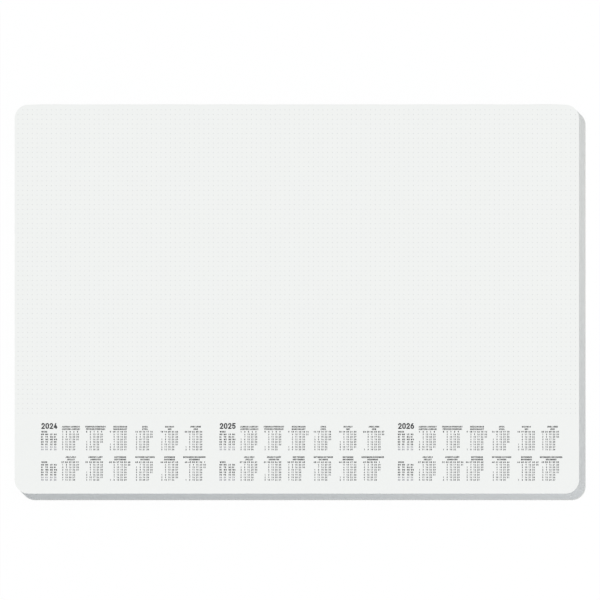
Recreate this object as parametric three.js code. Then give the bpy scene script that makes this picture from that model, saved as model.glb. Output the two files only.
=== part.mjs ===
// A desk pad calendar: a stack of printed sheets on a pale board, glued along its head edge.
// Millimetres, +Z up. The pad lies flat on its board. +X runs along the long side, +Y points to the head,
// the far long edge. The origin is on the underside, at the middle of the pad with its glue.
import * as THREE from "three";

// The trimmed outline, shared by every sheet and by the board
const padWidth = 595;
const padDepth = 410;
const cornerRadius = 14.5;
const arcSegments = 8;

// The stack
const sheetCount = 60;
const sheetThickness = 0.1;
const boardThickness = 1;

// The padding glue, brushed on the head edge between the two rounded corners
const glueThickness = 0.3;
const glueCornerGap = 2;

const stackHeight = sheetCount * sheetThickness;
const padHeight = boardThickness + stackHeight;
const headEdge = padDepth / 2;

// A rectangle with round corners, centred on the origin.
function roundedOutline(width, depth, radius) {
  const x = width / 2 - radius;
  const y = depth / 2 - radius;
  const outline = new THREE.Shape();
  outline.absarc(x, y, radius, 0, Math.PI / 2);
  outline.absarc(-x, y, radius, Math.PI / 2, Math.PI);
  outline.absarc(-x, -y, radius, Math.PI, 1.5 * Math.PI);
  outline.absarc(x, -y, radius, 1.5 * Math.PI, 2 * Math.PI);
  outline.closePath();
  return outline;
}

// A slab with the pad's outline, its underside at z = 0.
function trimmedSlab(height) {
  return new THREE.ExtrudeGeometry(roundedOutline(padWidth, padDepth, cornerRadius), {
    depth: height,
    bevelEnabled: false,
    curveSegments: arcSegments,
  });
}

function piece(name, geometry, material) {
  const mesh = new THREE.Mesh(geometry, material);
  mesh.name = name;
  return mesh;
}

// The board lies underneath and keeps the pad flat.
function backingBoard() {
  const paleBoard = new THREE.MeshStandardMaterial({ color: 0xedefef, roughness: 0.95, metalness: 0 });
  return piece("backing_board", trimmedSlab(boardThickness), paleBoard);
}

// The sheets are one block, because they stay glued together until they are torn off.
function sheetBlock() {
  const paper = new THREE.MeshStandardMaterial({ color: 0xf1f3f2, roughness: 0.9, metalness: 0 });
  const block = piece("sheet_block", trimmedSlab(stackHeight), paper);
  block.position.z = boardThickness;
  return block;
}

// The glue covers the head edge of the board and of the sheets.
function headGlue() {
  const length = padWidth - 2 * (cornerRadius + glueCornerGap);
  const glue = new THREE.MeshStandardMaterial({ color: 0xe9ebe8, roughness: 0.45, metalness: 0 });
  const film = piece("head_glue", new THREE.BoxGeometry(length, glueThickness, padHeight), glue);
  film.position.set(0, headEdge + glueThickness / 2, padHeight / 2);
  return film;
}

// The glue makes the pad a little deeper at its head, so the pad is moved back by half of that.
const deskPad = new THREE.Group();
deskPad.add(backingBoard(), sheetBlock(), headGlue());
deskPad.position.y = -glueThickness / 2;

export default deskPad;
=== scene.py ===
# %% [markdown]
# # A desk pad calendar
# A desk pad is a stack of large printed sheets on a pale board, glued along its far edge. The packed
# model already has the stack, the board and the glue at their real size. This lesson gives them their
# looks: single sheets that show at the cut edges, the dot grid and three yearly calendars printed as
# flat ink shapes, paper, board and glue finishes, and the plain light of a product picture.

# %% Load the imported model
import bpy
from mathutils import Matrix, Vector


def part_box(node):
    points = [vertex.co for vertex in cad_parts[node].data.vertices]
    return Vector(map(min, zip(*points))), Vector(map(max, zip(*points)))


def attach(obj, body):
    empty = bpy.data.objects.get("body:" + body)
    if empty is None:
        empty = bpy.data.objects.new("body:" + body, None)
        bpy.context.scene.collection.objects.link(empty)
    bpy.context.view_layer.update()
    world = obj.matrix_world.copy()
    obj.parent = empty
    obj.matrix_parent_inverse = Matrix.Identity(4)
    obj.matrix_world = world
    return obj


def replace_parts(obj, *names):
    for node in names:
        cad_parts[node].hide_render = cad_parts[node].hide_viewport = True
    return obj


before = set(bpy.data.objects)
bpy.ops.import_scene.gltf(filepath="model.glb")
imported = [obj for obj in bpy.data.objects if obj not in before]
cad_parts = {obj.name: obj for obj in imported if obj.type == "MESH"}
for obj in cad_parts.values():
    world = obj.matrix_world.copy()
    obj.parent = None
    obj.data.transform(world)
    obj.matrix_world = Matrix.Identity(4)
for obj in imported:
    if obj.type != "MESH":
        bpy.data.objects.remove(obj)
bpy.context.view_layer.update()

# %% [markdown]
# Blender counts in metres and the pad is described in millimetres, so one factor turns one into the other.

# %% Units
import datetime
import math

import bpy
import numpy as np
from mathutils import Matrix, Vector, geometry, noise

MM = 0.001

# %% [markdown]
# Everything is placed from the stack of sheets: its edges give the pad's outline and its top gives the
# writing face. The corner radius can't be read from a box, so it is stated here as it was modelled.

# %% Where the pad lies
STACK_LOW, STACK_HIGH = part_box("sheet_block")
GLUE_LOW, GLUE_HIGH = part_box("head_glue")
LEFT, RIGHT = STACK_LOW.x, STACK_HIGH.x
FRONT, HEAD = STACK_LOW.y, STACK_HIGH.y
CENTRE_X, CENTRE_Y = (LEFT + RIGHT) / 2, (FRONT + HEAD) / 2
CORNER_RADIUS = 14.5 * MM
INK_THICKNESS = 0.02 * MM
INK_TOP = STACK_HIGH.z
FACE = INK_TOP - INK_THICKNESS
print("face", round((RIGHT - LEFT) / MM, 1), "by", round((HEAD - FRONT) / MM, 1), "mm at", FACE / MM, "mm")

# %% [markdown]
# ## The camera
# The picture is an oblique one: the face is a true rectangle, and the right and front sides still show,
# drawn as wide as the pad is thick. A camera that looks straight down can't do that, and a tilted one
# would turn the rectangle into a trapezium. So the camera's picture plane stays level, and a shear in its
# parent's matrix makes it look along a line that falls by one for each step to the left and to the head.
# Blender gives a camera's axes unit length, so the slanting axis, the root of three long, counts as a
# lens that is shorter by that much.

# %% Oblique camera
PICTURE_WIDTH = 632.5 * MM
AIM_RIGHT, AIM_HEAD = 3.3 * MM, -0.9 * MM
LENS_MM, SENSOR_MM = 1000.0, 36.0
NEAREST, FARTHEST = 0.1, 100.0
SLANT = math.sqrt(3)
SHEAR = Matrix(((1, 0, 1, 0), (0, 1, -1, 0), (0, 0, 1, 0), (0, 0, 0, 1)))
camera_height = PICTURE_WIDTH * LENS_MM / (SENSOR_MM * SLANT)

camera_data = bpy.data.cameras.new("product_camera")
camera_data.lens, camera_data.sensor_width = LENS_MM, SENSOR_MM
camera_data.clip_start, camera_data.clip_end = NEAREST, FARTHEST
camera = bpy.data.objects.new("product_camera", camera_data)
oblique_rig = bpy.data.objects.new("oblique_rig", None)
for thing in (camera, oblique_rig):
    bpy.context.scene.collection.objects.link(thing)
camera.parent = oblique_rig
oblique_rig.location = (0, 0, INK_TOP)
camera.matrix_parent_inverse = SHEAR
camera.location = (CENTRE_X + AIM_RIGHT, CENTRE_Y + AIM_HEAD, camera_height)
bpy.context.scene.camera = camera
print("camera", round(camera_height, 3), "m above the face")

# %% [markdown]
# ## Shader maths as plain Python
# A node's output is wrapped in a small class, so that an expression such as 1 - mask adds its Math
# nodes. Every other node comes from one method, which sets the node's own settings first and then feeds
# its sockets with values or with links. A socket that has no name of its own is counted from 0.

# %% Sockets that calculate
class Socket:
    """An output of a node. Python's operators on it add Math nodes."""

    def __init__(self, nodes, output):
        self.nodes, self.output = nodes, output

    def math(self, operation, first, second):
        return self.nodes.add("ShaderNodeMath", {"operation": operation}, {0: first, 1: second})

    def __add__(self, other):
        return self.math("ADD", self, other)

    def __radd__(self, other):
        return self.math("ADD", other, self)

    def __sub__(self, other):
        return self.math("SUBTRACT", self, other)

    def __rsub__(self, other):
        return self.math("SUBTRACT", other, self)

    def __mul__(self, other):
        return self.math("MULTIPLY", self, other)

    def __rmul__(self, other):
        return self.math("MULTIPLY", other, self)


# %% One method for every other node
MIX_SHARE, MIX_FIRST, MIX_SECOND, MIXED_COLOUR = 0, 6, 7, 2
OBJECT_PLACE = 3


class Nodes:
    """A node tree, emptied, of a material or of the world."""

    def __init__(self, owner):
        owner.use_nodes = True
        self.tree = owner.node_tree
        self.tree.nodes.clear()

    def add(self, kind, settings=None, sockets=None, output=0):
        made = self.tree.nodes.new(kind)
        for name, value in (settings or {}).items():
            if name == "stops":
                self.set_stops(made.color_ramp, value)
            else:
                setattr(made, name, value)
        for name, value in (sockets or {}).items():
            if isinstance(value, Socket):
                self.tree.links.new(value.output, made.inputs[name])
            else:
                made.inputs[name].default_value = value
        return Socket(self, made.outputs[output]) if made.outputs else made

    @staticmethod
    def set_stops(ramp, stops):
        while len(ramp.elements) < len(stops):
            ramp.elements.new(1.0)
        for element, (position, tone) in zip(ramp.elements, stops):
            element.position, element.color = position, (tone, tone, tone, 1)

    def blend_colours(self, share, first, second):
        """The first colour at share 0, the second at share 1. Each is a colour or a socket."""
        first, second = (c if isinstance(c, Socket) else (*c, 1) for c in (first, second))
        sockets = {MIX_SHARE: share, MIX_FIRST: first, MIX_SECOND: second}
        return self.add("ShaderNodeMix", {"data_type": "RGBA"}, sockets, output=MIXED_COLOUR)

    def noise(self, per_metre, detail=2.0, stretch=(1, 1, 1)):
        """Noise in the object's own metres, as a value from 0 to 1."""
        place = self.add("ShaderNodeTexCoord", output=OBJECT_PLACE)
        place = self.add("ShaderNodeVectorMath", {"operation": "MULTIPLY"}, {0: place, 1: stretch})
        return self.add("ShaderNodeTexNoise", None, {"Vector": place, "Scale": per_metre, "Detail": detail})

    def bump(self, height, depth):
        return self.add("ShaderNodeBump", None, {"Strength": 1.0, "Distance": depth, "Height": height})

    def principled(self, colour, roughness, normal=None, **constants):
        sockets = {"Base Color": colour, "Roughness": roughness}
        if normal:
            sockets["Normal"] = normal
        sockets.update({name.replace("_", " "): value for name, value in constants.items()})
        shader = self.add("ShaderNodeBsdfPrincipled", None, sockets)
        self.add("ShaderNodeOutputMaterial", None, {"Surface": shader})


# %% [markdown]
# ## Paper
# The sheets are smooth uncoated paper. Seen close, the face has a fine felt of fibres and a very faint
# cloudiness, which papermakers call the formation. Both come from noise at their real scale, a third of
# a millimetre and about two centimetres, and only the fibres are felt as a bump.

# %% Paper face
PAPER_WHITE, PAPER_SHADE = (0.892, 0.902, 0.887), (0.867, 0.878, 0.863)
FIBRES_PER_METRE, CLOUDS_PER_METRE = 3000, 50
FIBRE_STRETCH, FACE_RELIEF = (1, 0.6, 1), 0.004 * MM


def paper_face():
    material = bpy.data.materials.new("paper_face")
    nodes = Nodes(material)
    fibres = nodes.noise(FIBRES_PER_METRE, detail=4.0, stretch=FIBRE_STRETCH)
    clouds = nodes.noise(CLOUDS_PER_METRE, detail=3.0)
    colour = nodes.blend_colours(0.5 * fibres + 0.5 * clouds, PAPER_WHITE, PAPER_SHADE)
    nodes.principled(colour, 0.74 + 0.16 * fibres, nodes.bump(fibres, FACE_RELIEF), Specular_IOR_Level=0.35)
    return material


# %% [markdown]
# The cut edges are rougher than the face. A guillotine leaves the ends of the fibres standing. Their colour
# is darker and cooler than the face paper, which is painted shade of the narrow gaps between the sheets.
# The tone changes from sheet to sheet and slowly along the edge: partly random tone of the cut, and partly
# painted shade lines between the sheets. Noise that is squeezed in height and drawn out along the edge does
# both.

# %% Cut edges of the sheets
# Painted shade: both edge colours are darker and cooler than the face paper, standing for the shade between
# the sheets.
EDGE_PAPER_IN_PAINTED_SHADE, EDGE_PAPER_IN_DEEPER_PAINTED_SHADE = (0.832, 0.862, 0.884), (0.813, 0.843, 0.865)
LAYERS_PER_METRE, LAYER_STRETCH = 1000, (0.02, 0.02, 9)
FLUFF_PER_METRE, EDGE_RELIEF = 2500, 0.012 * MM


def cut_paper():
    material = bpy.data.materials.new("cut_paper")
    nodes = Nodes(material)
    # This noise changes the tone sheet by sheet: random tone, and painted shade lines between the sheets.
    sheet_tone_and_painted_gap_shade = nodes.noise(LAYERS_PER_METRE, detail=2.0, stretch=LAYER_STRETCH)
    fluff = nodes.noise(FLUFF_PER_METRE, detail=3.0)
    tone = 0.65 * sheet_tone_and_painted_gap_shade + 0.35 * fluff
    colour = nodes.blend_colours(tone, EDGE_PAPER_IN_PAINTED_SHADE, EDGE_PAPER_IN_DEEPER_PAINTED_SHADE)
    nodes.principled(colour, 0.85 + 0.1 * fluff, nodes.bump(tone, EDGE_RELIEF), Specular_IOR_Level=0.2)
    return material


# %% [markdown]
# ## Board and glue
# The backing is pulp board, nearly as pale as the paper. Its underside shows short darker fibres
# in all directions, and its face is slightly uneven. Two sizes of noise give the body, and a ramp that
# keeps only the peaks of a third one gives the single fibres.

# %% Pulp board
BOARD_LIGHT, BOARD_DARK, BOARD_FLECK = (0.86, 0.88, 0.88), (0.80, 0.82, 0.82), (0.55, 0.55, 0.53)
PULP_PER_METRE, MOTTLE_PER_METRE, BOARD_RELIEF = 900, 70, 0.03 * MM
STRANDS_PER_METRE, STRAND_STRETCH = 1500, (1, 0.25, 1)
STRAND_PEAKS, FLECK_SHARE = [(0.68, 0.0), (0.76, 1.0)], 0.45


def pulp_board():
    material = bpy.data.materials.new("pulp_board")
    nodes = Nodes(material)
    pulp = nodes.noise(PULP_PER_METRE, detail=5.0)
    mottle = nodes.noise(MOTTLE_PER_METRE, detail=3.0)
    strands = nodes.noise(STRANDS_PER_METRE, detail=1.0, stretch=STRAND_STRETCH)
    flecks = nodes.add("ShaderNodeValToRGB", {"stops": STRAND_PEAKS}, {"Fac": strands})
    body = nodes.blend_colours(0.6 * pulp + 0.4 * mottle, BOARD_LIGHT, BOARD_DARK)
    colour = nodes.blend_colours(flecks * FLECK_SHARE, body, BOARD_FLECK)
    nodes.principled(colour, 0.86 + 0.1 * pulp, nodes.bump(pulp, BOARD_RELIEF), Specular_IOR_Level=0.25)
    return material


# %% [markdown]
# Padding glue is brushed on white and dries to a soft, slightly glossy film. The brush runs along the
# edge, so its marks are long and thin. The film's uneven thickness is real mesh, and the finest marks
# are bump.

# %% Dried padding glue
GLUE_PALE, GLUE_THIN = (0.86, 0.87, 0.85), (0.77, 0.79, 0.76)
MARKS_PER_METRE, MARK_STRETCH = 900, (0.05, 1, 1)
MARK_RELIEF, GLUE_IOR = 0.05 * MM, 1.47


def padding_glue():
    material = bpy.data.materials.new("padding_glue")
    nodes = Nodes(material)
    marks = nodes.noise(MARKS_PER_METRE, detail=3.0, stretch=MARK_STRETCH)
    colour = nodes.blend_colours(marks, GLUE_PALE, GLUE_THIN)
    nodes.principled(colour, 0.3 + 0.25 * marks, nodes.bump(marks, MARK_RELIEF), IOR=GLUE_IOR)
    return material


# %% [markdown]
# ## Ink
# The print is one dark grey ink, used solid for the years, headings and week numbers and as lighter
# tints for the days, the weekend and the dots. Offset ink sinks into uncoated paper, so it is matt, and
# where the fibres stay bare it looks a little thin.

# %% Ink tints
INK_SOLID = (0.024, 0.025, 0.028)
INK_DAYS = (0.044, 0.046, 0.051)
INK_WEEKEND = (0.2, 0.2, 0.24)
INK_DOTS = (0.4, 0.405, 0.41)
THIN_INK, INK_RELIEF = 1.3, 0.003 * MM


def ink(name, tint):
    material = bpy.data.materials.new(name)
    nodes = Nodes(material)
    fibres = nodes.noise(FIBRES_PER_METRE, detail=3.0)
    thinner = tuple(min(1.0, channel * THIN_INK) for channel in tint)
    colour = nodes.blend_colours(fibres, tint, thinner)
    nodes.principled(colour, 0.7 + 0.2 * fibres, nodes.bump(fibres, INK_RELIEF), Specular_IOR_Level=0.2)
    return material


# %% [markdown]
# ## The sheets
# Sheets are cut to one outline with round corners. A function gives that outline as points, drawn in or
# moved by a hair where it is asked to, and another turns an outline into a thin closed slab.

# %% Outline and slab
ARC_STEPS = 16


def outline(inset=0.0, shift=(0.0, 0.0)):
    """Points round the pad, counter-clockwise from the right end of the head corner."""
    reach_x = (RIGHT - LEFT) / 2 - CORNER_RADIUS
    reach_y = (HEAD - FRONT) / 2 - CORNER_RADIUS
    points = []
    for quarter, (side_x, side_y) in enumerate(((1, 1), (-1, 1), (-1, -1), (1, -1))):
        for step in range(ARC_STEPS + 1):
            angle = math.pi / 2 * (quarter + step / ARC_STEPS)
            x = CENTRE_X + shift[0] + side_x * reach_x + (CORNER_RADIUS - inset) * math.cos(angle)
            y = CENTRE_Y + shift[1] + side_y * reach_y + (CORNER_RADIUS - inset) * math.sin(angle)
            points.append((x, y))
    return points


def slab(points, low, high, first_vertex=0):
    """Vertices and faces of a closed slab. The two flat faces come first."""
    count = len(points)
    vertices = [(x, y, low) for x, y in points] + [(x, y, high) for x, y in points]
    bottom = [first_vertex + i for i in reversed(range(count))]
    top = [first_vertex + count + i for i in range(count)]
    faces = [bottom, top]
    for i in range(count):
        after = (i + 1) % count
        faces.append([bottom[-1 - i], bottom[-1 - after], top[after], top[i]])
    return vertices, faces


# %% A mesh from lists
def make_piece(name, vertices, faces, materials, material_of_face=None):
    mesh = bpy.data.meshes.new(name)
    mesh.from_pydata(vertices, [], faces)
    for material in materials:
        mesh.materials.append(material)
    if material_of_face is not None:
        mesh.polygons.foreach_set("material_index", np.asarray(material_of_face, dtype=np.int32))
    mesh.update()
    piece = bpy.data.objects.new(name, mesh)
    bpy.context.scene.collection.objects.link(piece)
    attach(piece, "root")
    print(name, len(mesh.vertices), "vertices", len(mesh.polygons), "faces")
    return piece


# %% [markdown]
# Sixty sheets of 0.1 mm make the stack. Each one is a slab of its own with a hairline of air above it,
# and after the guillotine they no longer line up to the hair, so each lies a few hundredths off. The top
# sheet lies true, because the print is placed on it.

# %% Sixty sheets
SHEETS = 60
SHEET_PITCH = (FACE - STACK_LOW.z) / SHEETS
AIR = 0.008 * MM
LARGEST_SLIP, SLIP_SEED = 0.03 * MM, 11
slips = np.random.default_rng(SLIP_SEED).uniform(-LARGEST_SLIP, LARGEST_SLIP, (SHEETS, 2))

face_paper, edge_paper = paper_face(), cut_paper()


def under_sheets():
    vertices, faces, materials = [], [], []
    for number in range(SHEETS - 1):
        low = STACK_LOW.z + number * SHEET_PITCH
        points = outline(inset=LARGEST_SLIP, shift=slips[number])
        more, sides = slab(points, low, low + SHEET_PITCH - AIR, len(vertices))
        vertices += more
        faces += sides
        materials += [0, 0] + [1] * (len(sides) - 2)
    return make_piece("under_sheets", vertices, faces, [face_paper, edge_paper], materials)


def top_sheet():
    vertices, faces = slab(outline(), FACE - SHEET_PITCH, FACE)
    materials = [0, 0] + [1] * (len(faces) - 2)
    make_piece("top_sheet", vertices, faces, [face_paper, edge_paper], materials)


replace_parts(under_sheets(), "sheet_block")
top_sheet()

# %% [markdown]
# The board has the right shape already, so its own mesh stays and only takes the board finish.

# %% Backing board
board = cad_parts["backing_board"]
board.data.materials.clear()
board.data.materials.append(pulp_board())

# %% [markdown]
# The glue film follows the head edge. Its outer face is a grid whose thickness wanders with smooth
# noise, long along the brush stroke and short across it. It runs out to almost nothing at both ends.

# %% Glue film
GLUE_COLUMNS, GLUE_ROWS = 280, 14
GLUE_THINNEST, GLUE_RUN_OUT, GLUE_AT_END = 0.12 * MM, 9 * MM, 0.1
BRUSH_LENGTH, BRUSH_WIDTH = 30 * MM, 1.1 * MM


def glue_thickness(x, z):
    full = GLUE_HIGH.y - HEAD
    wander = 0.5 + 0.5 * noise.noise(Vector((x / BRUSH_LENGTH, 0.0, z / BRUSH_WIDTH)))
    to_end = min(x - GLUE_LOW.x, GLUE_HIGH.x - x) / GLUE_RUN_OUT
    taper = min(1.0, GLUE_AT_END + (1 - GLUE_AT_END) * math.sqrt(max(0.0, to_end)))
    return taper * (GLUE_THINNEST + (full - GLUE_THINNEST) * min(1.0, wander))


def glue_film():
    columns = np.linspace(GLUE_LOW.x, GLUE_HIGH.x, GLUE_COLUMNS + 1)
    rows = np.linspace(GLUE_LOW.z, min(GLUE_HIGH.z, FACE), GLUE_ROWS + 1)
    outer = [(x, HEAD + glue_thickness(x, z), z) for x in columns for z in rows]
    inner = [(x, HEAD, z) for x in columns for z in rows]
    per_column, back = len(rows), len(outer)
    faces = []
    for i in range(GLUE_COLUMNS):
        for j in range(GLUE_ROWS):
            a = i * per_column + j
            b, c, d = a + 1, a + per_column + 1, a + per_column
            faces += [[a, b, c, d], [back + d, back + c, back + b, back + a]]
    rim = [i * per_column for i in range(GLUE_COLUMNS + 1)]
    rim += [GLUE_COLUMNS * per_column + j for j in range(1, GLUE_ROWS + 1)]
    rim += [i * per_column + GLUE_ROWS for i in reversed(range(GLUE_COLUMNS))]
    rim += list(reversed(range(1, GLUE_ROWS)))
    for a, b in zip(rim, rim[1:] + rim[:1]):
        faces.append([a, b, back + b, back + a])
    film = make_piece("glue_film", outer + inner, faces, [padding_glue()])
    film.data.shade_smooth()
    return film


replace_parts(glue_film(), "head_glue")

# %% [markdown]
# ## The dot grid
# Notes are written on a field of pale dots, 5 mm apart. Each dot is a small flat disc on the
# paper. A disc whose centre would fall within the rounded corner's margin isn't printed.

# %% Dots
DOT_COLUMNS, DOT_ROWS = 118, 65
DOT_PITCH_X, DOT_PITCH_Y = 5.022 * MM, 4.996 * MM
DOTS_FROM_LEFT, DOTS_FROM_HEAD = 3.6 * MM, 5.4 * MM
DOT_DIAMETER, DOT_SIDES = 0.6 * MM, 8
DOT_CORNER_MARGIN = 2.2 * MM


def clear_of_corner(x, y):
    past_x = abs(x - CENTRE_X) - ((RIGHT - LEFT) / 2 - CORNER_RADIUS)
    past_y = abs(y - CENTRE_Y) - ((HEAD - FRONT) / 2 - CORNER_RADIUS)
    return min(past_x, past_y) < 0 or math.hypot(past_x, past_y) < CORNER_RADIUS - DOT_CORNER_MARGIN


def dot_grid():
    angles = np.linspace(0, 2 * math.pi, DOT_SIDES, endpoint=False)
    disc = np.stack((np.cos(angles), np.sin(angles)), axis=1) * DOT_DIAMETER / 2
    centres = [
        (LEFT + DOTS_FROM_LEFT + column * DOT_PITCH_X, HEAD - DOTS_FROM_HEAD - row * DOT_PITCH_Y)
        for row in range(DOT_ROWS)
        for column in range(DOT_COLUMNS)
    ]
    centres = [centre for centre in centres if clear_of_corner(*centre)]
    flat = (np.array(centres)[:, None, :] + disc[None, :, :]).reshape(-1, 2)
    vertices = np.column_stack((flat, np.full(len(flat), INK_TOP)))
    faces = np.arange(len(flat)).reshape(-1, DOT_SIDES)
    make_piece("dot_grid", vertices.tolist(), faces.tolist(), [ink("dot_ink", INK_DOTS)])


dot_grid()

# %% [markdown]
# ## Plain drawn lettering
# The calendars are set in an even, narrow lettering like that of technical drawings. Such letters are
# strokes of one width along straight lines and parts of ellipses, so each character is a list of
# strokes in a box one wide and one high. A stroke is a list of points, and bow() gives the points of a
# curved part. The box shrinks by the stroke's width, so a heavier weight grows inwards.

# %% Curved strokes
BOW_STEP = 20


def bow(x, y, across, up, start, end):
    """Points on part of an ellipse round x, y, from one angle to another in degrees."""
    steps = max(1, round(abs(end - start) / BOW_STEP))
    angles = np.radians(np.linspace(start, end, steps + 1))
    return [(x + across * math.cos(a), y + up * math.sin(a)) for a in angles]


# %% Numerals
OVAL = bow(0.5, 0.7, 0.5, 0.3, 0, 180) + bow(0.5, 0.3, 0.5, 0.3, 180, 360)
RING_LOW = bow(0.5, 0.32, 0.5, 0.32, 0, 360)
SIX = [RING_LOW, [(0.01, 0.38), (0.12, 0.62), (0.34, 0.85), (0.66, 1.0)]]
STROKES = {
    "0": [OVAL + OVAL[:1]],
    "1": [[(0.6, 0), (0.6, 1)], [(0.45, 0.98), (0.2, 0.76)]],
    "2": [bow(0.5, 0.71, 0.48, 0.29, 170, -30) + [(0.04, 0.02)], [(0.0, 0), (1, 0)]],
    "3": [bow(0.46, 0.76, 0.44, 0.24, 160, -90), bow(0.46, 0.27, 0.52, 0.27, 80, -160)],
    "4": [[(0.6, 1), (0.1, 0.34)], [(0, 0.24), (1, 0.24)], [(0.74, 0.5), (0.74, 0)]],
    "5": [[(0.92, 1), (0.12, 1)], [(0.1, 0.97), (0.06, 0.55)], bow(0.46, 0.31, 0.52, 0.31, 130, -155)],
    "6": SIX,
    "7": [[(0, 1), (1, 1)], [(0.98, 0.97), (0.36, 0)]],
    "8": [bow(0.5, 0.77, 0.43, 0.23, 0, 360), bow(0.5, 0.27, 0.5, 0.27, 0, 360)],
    "9": [[(1 - x, 1 - y) for x, y in stroke] for stroke in SIX],
}

# %% Letters
SPINE = [(0, 0), (0, 1)]
OPEN_TOP = bow(0.5, 0.7, 0.5, 0.3, 25, 180)
CUP = [(0, 1)] + bow(0.5, 0.3, 0.5, 0.3, 180, 360) + [(1, 1)]
UPPER_BOWL = [(0.05, 1)] + bow(0.5, 0.76, 0.46, 0.24, 90, -90) + [(0.05, 0.52)]
BELLY_UP, BELLY_DOWN = bow(0.45, 0.65, 0.55, 0.35, 90, 0), bow(0.45, 0.35, 0.55, 0.35, 0, -90)
BELLY = [(0.05, 1)] + BELLY_UP + BELLY_DOWN + [(0.05, 0)]
LETTER_E = [SPINE, [(0.05, 1), (1, 1)], [(0.05, 0.52), (0.85, 0.52)], [(0.05, 0), (1, 0)]]
LETTER_A = [[(0, 0), (0.47, 1)], [(1, 0), (0.53, 1)], [(0.2, 0.28), (0.8, 0.28)]]
STROKES |= {
    "A": LETTER_A,
    "B": [SPINE, UPPER_BOWL, [(0.3, 0.52)] + bow(0.5, 0.26, 0.5, 0.26, 90, -90) + [(0.05, 0)]],
    "C": [OPEN_TOP + bow(0.5, 0.3, 0.5, 0.3, 180, 335)],
    "D": [SPINE, BELLY],
    "E": LETTER_E,
    "F": LETTER_E[:3],
    "G": [OPEN_TOP + bow(0.5, 0.3, 0.5, 0.3, 180, 360) + [(1, 0.47)], [(0.95, 0.47), (0.62, 0.47)]],
    "H": [SPINE, [(1, 0), (1, 1)], [(0.05, 0.5), (0.95, 0.5)]],
    "I": [[(0.5, 0), (0.5, 1)]],
    "J": [[(1, 1)] + bow(0.5, 0.28, 0.5, 0.28, 0, -150)],
    "K": [SPINE, [(0.98, 1), (0.06, 0.4)], [(0.4, 0.6), (1, 0)]],
    "L": [SPINE, [(0.05, 0), (1, 0)]],
    "M": [SPINE, [(0.04, 0.96), (0.5, 0.3)], [(0.96, 0.96), (0.5, 0.3)], [(1, 0), (1, 1)]],
    "N": [SPINE, [(0.03, 0.97), (0.97, 0.03)], [(1, 0), (1, 1)]],
    "O": [OVAL + OVAL[:1]],
    "P": [SPINE, UPPER_BOWL],
    "R": [SPINE, UPPER_BOWL, [(0.5, 0.5), (1, 0)]],
    "S": [bow(0.5, 0.76, 0.46, 0.24, 20, 270) + bow(0.5, 0.26, 0.5, 0.26, 80, -160)],
    "T": [[(0, 1), (1, 1)], [(0.5, 0), (0.5, 0.95)]],
    "U": [CUP],
    "V": [[(0, 1), (0.48, 0)], [(1, 1), (0.52, 0)]],
    "W": [[(0, 1), (0.26, 0)], [(0.5, 0.9), (0.28, 0)], [(0.5, 0.9), (0.72, 0)], [(1, 1), (0.74, 0)]],
    "Y": [[(0, 1), (0.48, 0.46)], [(1, 1), (0.52, 0.46)], [(0.5, 0.5), (0.5, 0)]],
    "Z": [[(0, 1), (1, 1)], [(0.96, 0.95), (0.04, 0.05)], [(0, 0), (1, 0)]],
    "/": [[(0, 0), (1, 1)]],
}

# %% Accents
ACCENTS = {
    "Ä": ("A", [[(0.2, 1.34), (0.3, 1.34)], [(0.7, 1.34), (0.8, 1.34)]]),
    "É": ("E", [[(0.38, 1.27), (0.64, 1.42)]]),
    "Û": ("U", [[(0.22, 1.27), (0.5, 1.42)], [(0.78, 1.27), (0.5, 1.42)]]),
}
ACCENT_WEIGHT, ACCENT_TOP = 0.5, 1.6
WIDTHS = {"I": 0.24, "M": 0.82, "W": 0.98, "/": 0.4, "1": 0.56, "E": 0.54, "F": 0.52, "L": 0.5}
NORMAL_WIDTH = 0.6
print(len(STROKES) + len(ACCENTS), "characters")

# %% [markdown]
# A stroke becomes a ribbon: each point gives a left and a right corner, square to the way the stroke
# runs there, and its ends reach half a width further.

# %% Ribbons
LARGEST_MITRE = 1.5


def ribbon(points, width):
    """Left and right corners along a stroke, as two arrays."""
    line = np.array(points, dtype=float)
    closed = np.allclose(line[0], line[-1])
    along = np.diff(line, axis=0)
    along /= np.linalg.norm(along, axis=1)[:, None]
    if not closed:
        line[0] -= along[0] * width / 2
        line[-1] += along[-1] * width / 2
    before = np.vstack((along[-1:] if closed else along[:1], along))
    after = np.vstack((along, along[:1] if closed else along[-1:]))
    tangent = before + after
    tangent /= np.linalg.norm(tangent, axis=1)[:, None]
    mitre = 1 / np.maximum((tangent * before).sum(1), 1 / LARGEST_MITRE)
    side = np.stack((-tangent[:, 1], tangent[:, 0]), axis=1) * (mitre * width / 2)[:, None]
    return line + side, line - side


# %% [markdown]
# The ribbons of one character overlap where its strokes meet, and two faces in one plane render as
# speckle. Blender's triangulator can cut faces at all their crossings, and it tells which of the cut
# pieces were covered. The sides that only one covered piece has are the character's true outline. That
# is filled once more, and what fell into a counter, such as the eye of a 4, is left out. The ends of
# slanting strokes are cut off flush with the character's box, so that a line of text has level edges.

# %% Merging ribbons
SMALLEST_FACE, SAME_POINT = 1e-7, 1e-5


def turn(a, b, c):
    """Twice the area of a triangle, and positive if its points run counter-clockwise."""
    return (b[0] - a[0]) * (c[1] - a[1]) - (b[1] - a[1]) * (c[0] - a[0])


def inside(point, border):
    """A point is inside a border if a line to its right crosses an odd number of sides."""
    x, y = point
    crossed = [side for side in border if (side[0].y > y) != (side[1].y > y)]
    return sum(x < a.x + (y - a.y) * (b.x - a.x) / (b.y - a.y) for a, b in crossed) % 2 == 1


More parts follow.
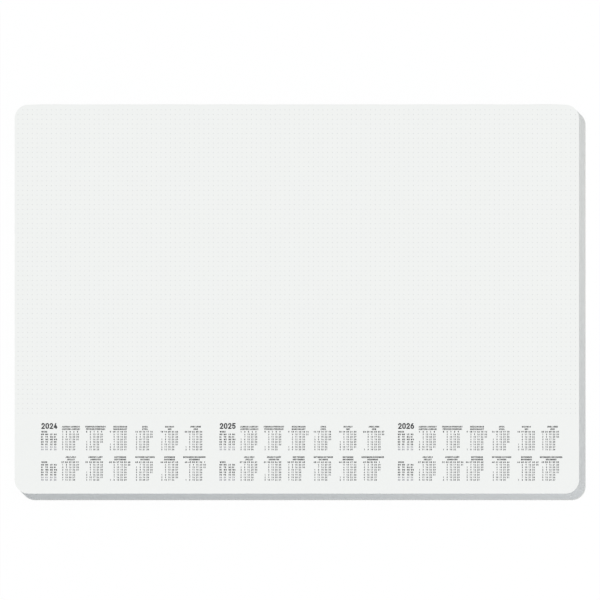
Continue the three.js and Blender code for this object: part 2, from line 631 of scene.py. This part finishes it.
def merged(corners, ribbon_faces):
    """One clean shape from ribbons that overlap: its points, and its triangles."""
    corners = [Vector(corner) for corner in corners]
    halves = [half for a, b, c, d in ribbon_faces for half in ((a, b, c), (a, c, d))]
    turns = [turn(*(corners[i] for i in half)) for half in halves]
    faces = [h if t > 0 else h[::-1] for h, t in zip(halves, turns) if abs(t) > SMALLEST_FACE]
    points, _, pieces, _, _, covers = geometry.delaunay_2d_cdt(corners, [], faces, 0, SAME_POINT)
    covered = [piece for piece, cover in zip(pieces, covers) if cover]
    sides = dict.fromkeys(side for piece in covered for side in zip(piece, piece[1:] + piece[:1]))
    rim = [side for side in sides if side[::-1] not in sides]
    used = sorted({i for side in rim for i in side})
    rim_sides = [(used.index(a), used.index(b)) for a, b in rim]
    filled = geometry.delaunay_2d_cdt([points[i] for i in used], rim_sides, [], 0, SAME_POINT)
    border = [(points[a], points[b]) for a, b in rim]
    middles = [sum((filled[0][i] for i in face), Vector((0, 0))) / 3 for face in filled[2]]
    kept = [face for face, middle in zip(filled[2], middles) if inside(middle, border)]
    return np.array([point[:] for point in filled[0]]), np.array(kept)


# %% One character
def character(letter, weight):
    """Points of a character one unit high, its triangles and its width."""
    base, accents = ACCENTS.get(letter, (letter, []))
    width = WIDTHS.get(base, NORMAL_WIDTH)
    strokes = [(stroke, weight, 1.0) for stroke in STROKES[base]]
    strokes += [(accent, weight * ACCENT_WEIGHT, ACCENT_TOP) for accent in accents]
    corners, faces = [], []
    for stroke, stroke_weight, top in strokes:
        line = [(weight / 2 + x * (width - weight), weight / 2 + y * (1 - weight)) for x, y in stroke]
        line = [p for i, p in enumerate(line) if i == 0 or math.dist(p, line[i - 1]) > SAME_POINT]
        left, right = np.clip(ribbon(line, stroke_weight), 0.0, (width, top))
        first_left, first_right = len(corners), len(corners) + len(left)
        corners += [*left, *right]
        for i in range(len(left) - 1):
            faces.append([first_right + i, first_right + i + 1, first_left + i + 1, first_left + i])
    return *merged(corners, faces), width


# %% [markdown]
# A sheet of print collects characters and becomes one mesh. Words are set by their middle or by their
# left end, at a capital height in millimetres and with a stroke weight as a share of that height. The
# same few dozen characters come up thousands of times, so each is drawn once and then moved.

# %% Setting words
class Print:
    """Flat ink shapes of one tint that end up as one piece."""

    def __init__(self, name, material):
        self.name, self.material = name, material
        self.corners, self.faces, self.count = [], [], 0
        self.drawn = {}

    def draw(self, letter, weight):
        if (letter, weight) not in self.drawn:
            self.drawn[letter, weight] = character(letter, weight)
        return self.drawn[letter, weight]

    def word(self, text, x, middle, size, centred=True):
        """Sets text with its middle line at that height on the sheet. x is its middle or its left end."""
        height, weight, broad, gap = size
        shapes = [self.draw(letter, weight) for letter in text]
        length = (sum(width for _, _, width in shapes) + gap * (len(text) - 1)) * height * broad
        pen = x - length / 2 if centred else x
        for corners, faces, width in shapes:
            self.corners.append(corners * (height * broad, height) + (pen, middle - height / 2))
            self.faces.append(faces + self.count)
            self.count += len(corners)
            pen += (width + gap) * height * broad

    def finish(self):
        flat, faces = np.vstack(self.corners), np.vstack(self.faces)
        vertices = np.column_stack((flat, np.full(len(flat), INK_TOP)))
        make_piece(self.name, vertices.tolist(), faces.tolist(), [self.material])


solid_ink = ink("solid_ink", INK_SOLID)
years = Print("year_numerals", solid_ink)
headings = Print("month_headings", solid_ink)
weeks = Print("week_numbers", solid_ink)
days = Print("day_numbers", ink("day_ink", INK_DAYS))
workdays = Print("weekday_names", solid_ink)
weekends = Print("weekend_names", ink("weekend_ink", INK_WEEKEND))

# %% [markdown]
# ## The calendars
# Three years stand side by side, each in two rows of six months. A week is a column here: its number
# stands on top in bold, with Monday to Sunday below. Weeks follow the international rule, by which a
# week belongs to the year of its Thursday, so Python's own calendar gives every number. The words are
# the plain names of the months and days in the four languages that such a pad is sold in.

# %% Places on the sheet
FIRST_YEAR, YEARS = 2024, 3
YEAR_LEFT, YEAR_PITCH = 28.1 * MM, 188.05 * MM
YEAR_MIDDLE = FRONT + 71.3 * MM
HALF_YEAR_DROP = 32.05 * MM
FIRST_HEADING, SECOND_HEADING = FRONT + 70.5 * MM, FRONT + 67.95 * MM
WEEK_LINE, MONDAY_LINE, LINE_PITCH = FRONT + 65.2 * MM, FRONT + 62.45 * MM, 2.653 * MM
FIRST_WEEK_COLUMN, COLUMN_PITCH = 22.55 * MM, 3.92 * MM
MONTH_STARTS = [start * MM for start in (0, 25.3, 50.3, 77.8, 104.5, 130.0)]
FIRST_HEADING_MIDDLE, HEADING_PITCH, JUNE_TO_RIGHT = 31.1 * MM, 26.05 * MM, 1.2 * MM
NAME_COLUMNS = [start * MM for start in (-0.2, 4.2, 9.3, 13.3)]

# %% [markdown]
# Each kind of word has its size: the height of a capital, and as shares of that height the weight of a
# stroke, then how broad the letters are set and the gap between two of them.

# %% Sizes of the words
YEAR_SIZE = (6.2 * MM, 0.2, 1.03, 0.08)
HEADING_SIZE = (1.72 * MM, 0.29, 1.07, 0.17)
WEEK_SIZE = (1.75 * MM, 0.278, 1.1, 0.2)
DAY_SIZE = (1.75 * MM, 0.226, 1.07, 0.2)
WORKDAY_SIZE = (1.72 * MM, 0.275, 1.06, 0.2)
WEEKEND_SIZE = (1.72 * MM, 0.225, 1.06, 0.2)

# %% Names
MONTH_NAMES = [
    ("JANUAR/JANUARY", "JANVIER/JANUARI"),
    ("FEBRUAR/FEBRUARY", "FÉVRIER/FEBRUARI"),
    ("MÄRZ/MARCH", "MARS/MAART"),
    ("APRIL", "AVRIL"),
    ("MAI/MAY", "MEI"),
    ("JUNI/JUNE", "JUIN"),
    ("JULI/JULY", "JUILLET"),
    ("AUGUST/AOÛT", "AUGUSTUS"),
    ("SEPTEMBER", "SEPTEMBRE"),
    ("OKTOBER/OCTOBER", "OCTOBRE"),
    ("NOVEMBER", "NOVEMBRE"),
    ("DEZEMBER/DECEMBER", "DÉCEMBRE"),
]
WORKDAYS = ["MO MO LU MA", "DI TU MA DI", "MI WE ME WO", "DO TH JE DO", "FR FR VE VR"]
WEEKEND = ["SA SA SA ZA", "SO SU DI ZO"]


# %% One month
def set_month(year, month, year_left, drop):
    """Prints a month's two headings, its week numbers and its days."""
    place = (month - 1) % 6
    heading_x = year_left + FIRST_HEADING_MIDDLE + place * HEADING_PITCH + (month == 6) * JUNE_TO_RIGHT
    for name, line in zip(MONTH_NAMES[month - 1], (FIRST_HEADING, SECOND_HEADING)):
        headings.word(name, heading_x, line - drop, HEADING_SIZE)
    first_day = datetime.date(year, month, 1)
    column, day = 0, first_day
    while day.month == month:
        x = year_left + FIRST_WEEK_COLUMN + MONTH_STARTS[place] + column * COLUMN_PITCH
        if day == first_day or day.weekday() == 0:
            weeks.word(str(day.isocalendar().week), x, WEEK_LINE - drop, WEEK_SIZE)
        days.word(str(day.day), x, MONDAY_LINE - day.weekday() * LINE_PITCH - drop, DAY_SIZE)
        column += day.weekday() == 6
        day += datetime.timedelta(days=1)


# %% One half of a year, and the years
def set_day_names(year_left, drop):
    weeks.word("WEEK", year_left, WEEK_LINE - drop, WEEK_SIZE, centred=False)
    for row, names in enumerate(WORKDAYS + WEEKEND):
        sheet, size = (workdays, WORKDAY_SIZE) if names in WORKDAYS else (weekends, WEEKEND_SIZE)
        line = MONDAY_LINE - row * LINE_PITCH - drop
        for start, name in zip(NAME_COLUMNS, names.split()):
            sheet.word(name, year_left + start, line, size, centred=False)


for number in range(YEARS):
    year, year_left = FIRST_YEAR + number, LEFT + YEAR_LEFT + number * YEAR_PITCH
    years.word(str(year), year_left, YEAR_MIDDLE, YEAR_SIZE, centred=False)
    for half in range(2):
        set_day_names(year_left, half * HALF_YEAR_DROP)
        for month in range(half * 6 + 1, half * 6 + 7):
            set_month(year, month, year_left, half * HALF_YEAR_DROP)

for sheet in (years, headings, weeks, days, workdays, weekends):
    sheet.finish()

# %% [markdown]
# ## Floor and light
# A product picture has a white ground. The floor is seen white by the camera and in reflections, and
# keeps a share of its real shading, so the pad's soft shadow stays. For the light that it sends back up
# to the sides it is a plain mid grey.

# %% Floor
FLOOR_HALF, FLOOR_CLEARANCE = 40.0, 0.05 * MM
FLOOR_GREY, FLOOR_WHITENESS, WHITE = 0.5, 0.8, (1, 1, 1, 1)


def shown_directly(nodes):
    """1 for what the camera sees, by itself or in gloss or glass, and 0 for light on its way."""
    path = "ShaderNodeLightPath"
    direct = nodes.add(path, output="Is Camera Ray") + nodes.add(path, output="Is Glossy Ray")
    return direct + nodes.add(path, output="Is Transmission Ray")


floor_material = bpy.data.materials.new("white_floor")
nodes = Nodes(floor_material)
shaded = nodes.add("ShaderNodeBsdfDiffuse", None, {"Color": WHITE})
glowing = nodes.add("ShaderNodeEmission", None, {"Color": WHITE, "Strength": 1.0})
seen = nodes.add("ShaderNodeMixShader", None, {0: FLOOR_WHITENESS, 1: shaded, 2: glowing})
bounce = nodes.add("ShaderNodeBsdfDiffuse", None, {"Color": (FLOOR_GREY, FLOOR_GREY, FLOOR_GREY, 1)})
mixed = nodes.add("ShaderNodeMixShader", None, {0: shown_directly(nodes), 1: bounce, 2: seen})
nodes.add("ShaderNodeOutputMaterial", None, {"Surface": mixed})

floor_mesh = bpy.data.meshes.new("floor")
corners = [(x * FLOOR_HALF, y * FLOOR_HALF) for x, y in ((-1, -1), (1, -1), (1, 1), (-1, 1))]
floor_mesh.from_pydata([(x, y, -FLOOR_CLEARANCE) for x, y in corners], [], [(0, 1, 2, 3)])
floor_mesh.materials.append(floor_material)
floor = bpy.data.objects.new("floor", floor_mesh)
bpy.context.scene.collection.objects.link(floor)

# %% [markdown]
# Most of the light is an even white sky, which shows colours as they are written. It is dimmer for the
# light that falls on the pad than for the eye, and a soft sun makes up for that. The sun stands nearly
# overhead, a little to the right and to the front, so the pad's shadow stays close and falls behind it.

# %% Sky and sun
SKY_DIMMED = 0.4
SKY_COLOUR = (0.985, 0.995, 1.0, 1)
SUN_TOWARDS, SUN_SHARE, SUN_ANGLE = Vector((0.062, -0.038, 0.4)), 0.4, math.radians(25)

world = bpy.data.worlds.new("studio")
bpy.context.scene.world = world
nodes = Nodes(world)
strength = 1 - SKY_DIMMED * (1 - shown_directly(nodes))
sky = nodes.add("ShaderNodeBackground", None, {"Color": SKY_COLOUR, "Strength": strength})
nodes.add("ShaderNodeOutputWorld", None, {"Surface": sky})

sun_data = bpy.data.lights.new("soft_sun", "SUN")
sun_data.energy = SUN_SHARE * math.pi / SUN_TOWARDS.normalized().z
sun_data.angle = SUN_ANGLE
sun = bpy.data.objects.new("soft_sun", sun_data)
sun.rotation_mode = "QUATERNION"
sun.rotation_quaternion = SUN_TOWARDS.to_track_quat("Z", "Y")
bpy.context.scene.collection.objects.link(sun)
bpy.context.scene.view_settings.view_transform = "Standard"

# %% [markdown]
# Two strip lamps stand low beside the pad. One is off its front side, to the right, and makes that side
# brighter towards the right. The other is nearer, off the right side's middle, and makes that side the
# brighter of the two. They stand so low that the face takes hardly any of their light and stays even.

# %% Strip lamps
STRIP_LENGTH, STRIP_HEIGHT = 0.4, 0.02


def strip_lamp(name, place, towards, watts, colour):
    data = bpy.data.lights.new(name, "AREA")
    data.shape, data.size, data.size_y = "RECTANGLE", STRIP_LENGTH, STRIP_HEIGHT
    data.energy, data.color = watts, colour
    lamp = bpy.data.objects.new(name, data)
    lamp.location = place
    lamp.rotation_mode = "QUATERNION"
    lamp.rotation_quaternion = (Vector(place) - Vector(towards)).to_track_quat("Z", "Y")
    lamp.visible_camera = False
    bpy.context.scene.collection.objects.link(lamp)
    print(name, watts, "W, from the pad's middle", round(lamp.location.length, 2), "m")


strip_lamp("front_strip", (0.36, -0.614, 0.015), (0.0, FRONT, 0.0), 0.26, (1.0, 0.97, 0.93))
strip_lamp("right_strip", (0.558, 0.085, 0.015), (RIGHT, 0.0, 0.0), 0.153, (1.0, 0.93, 0.77))
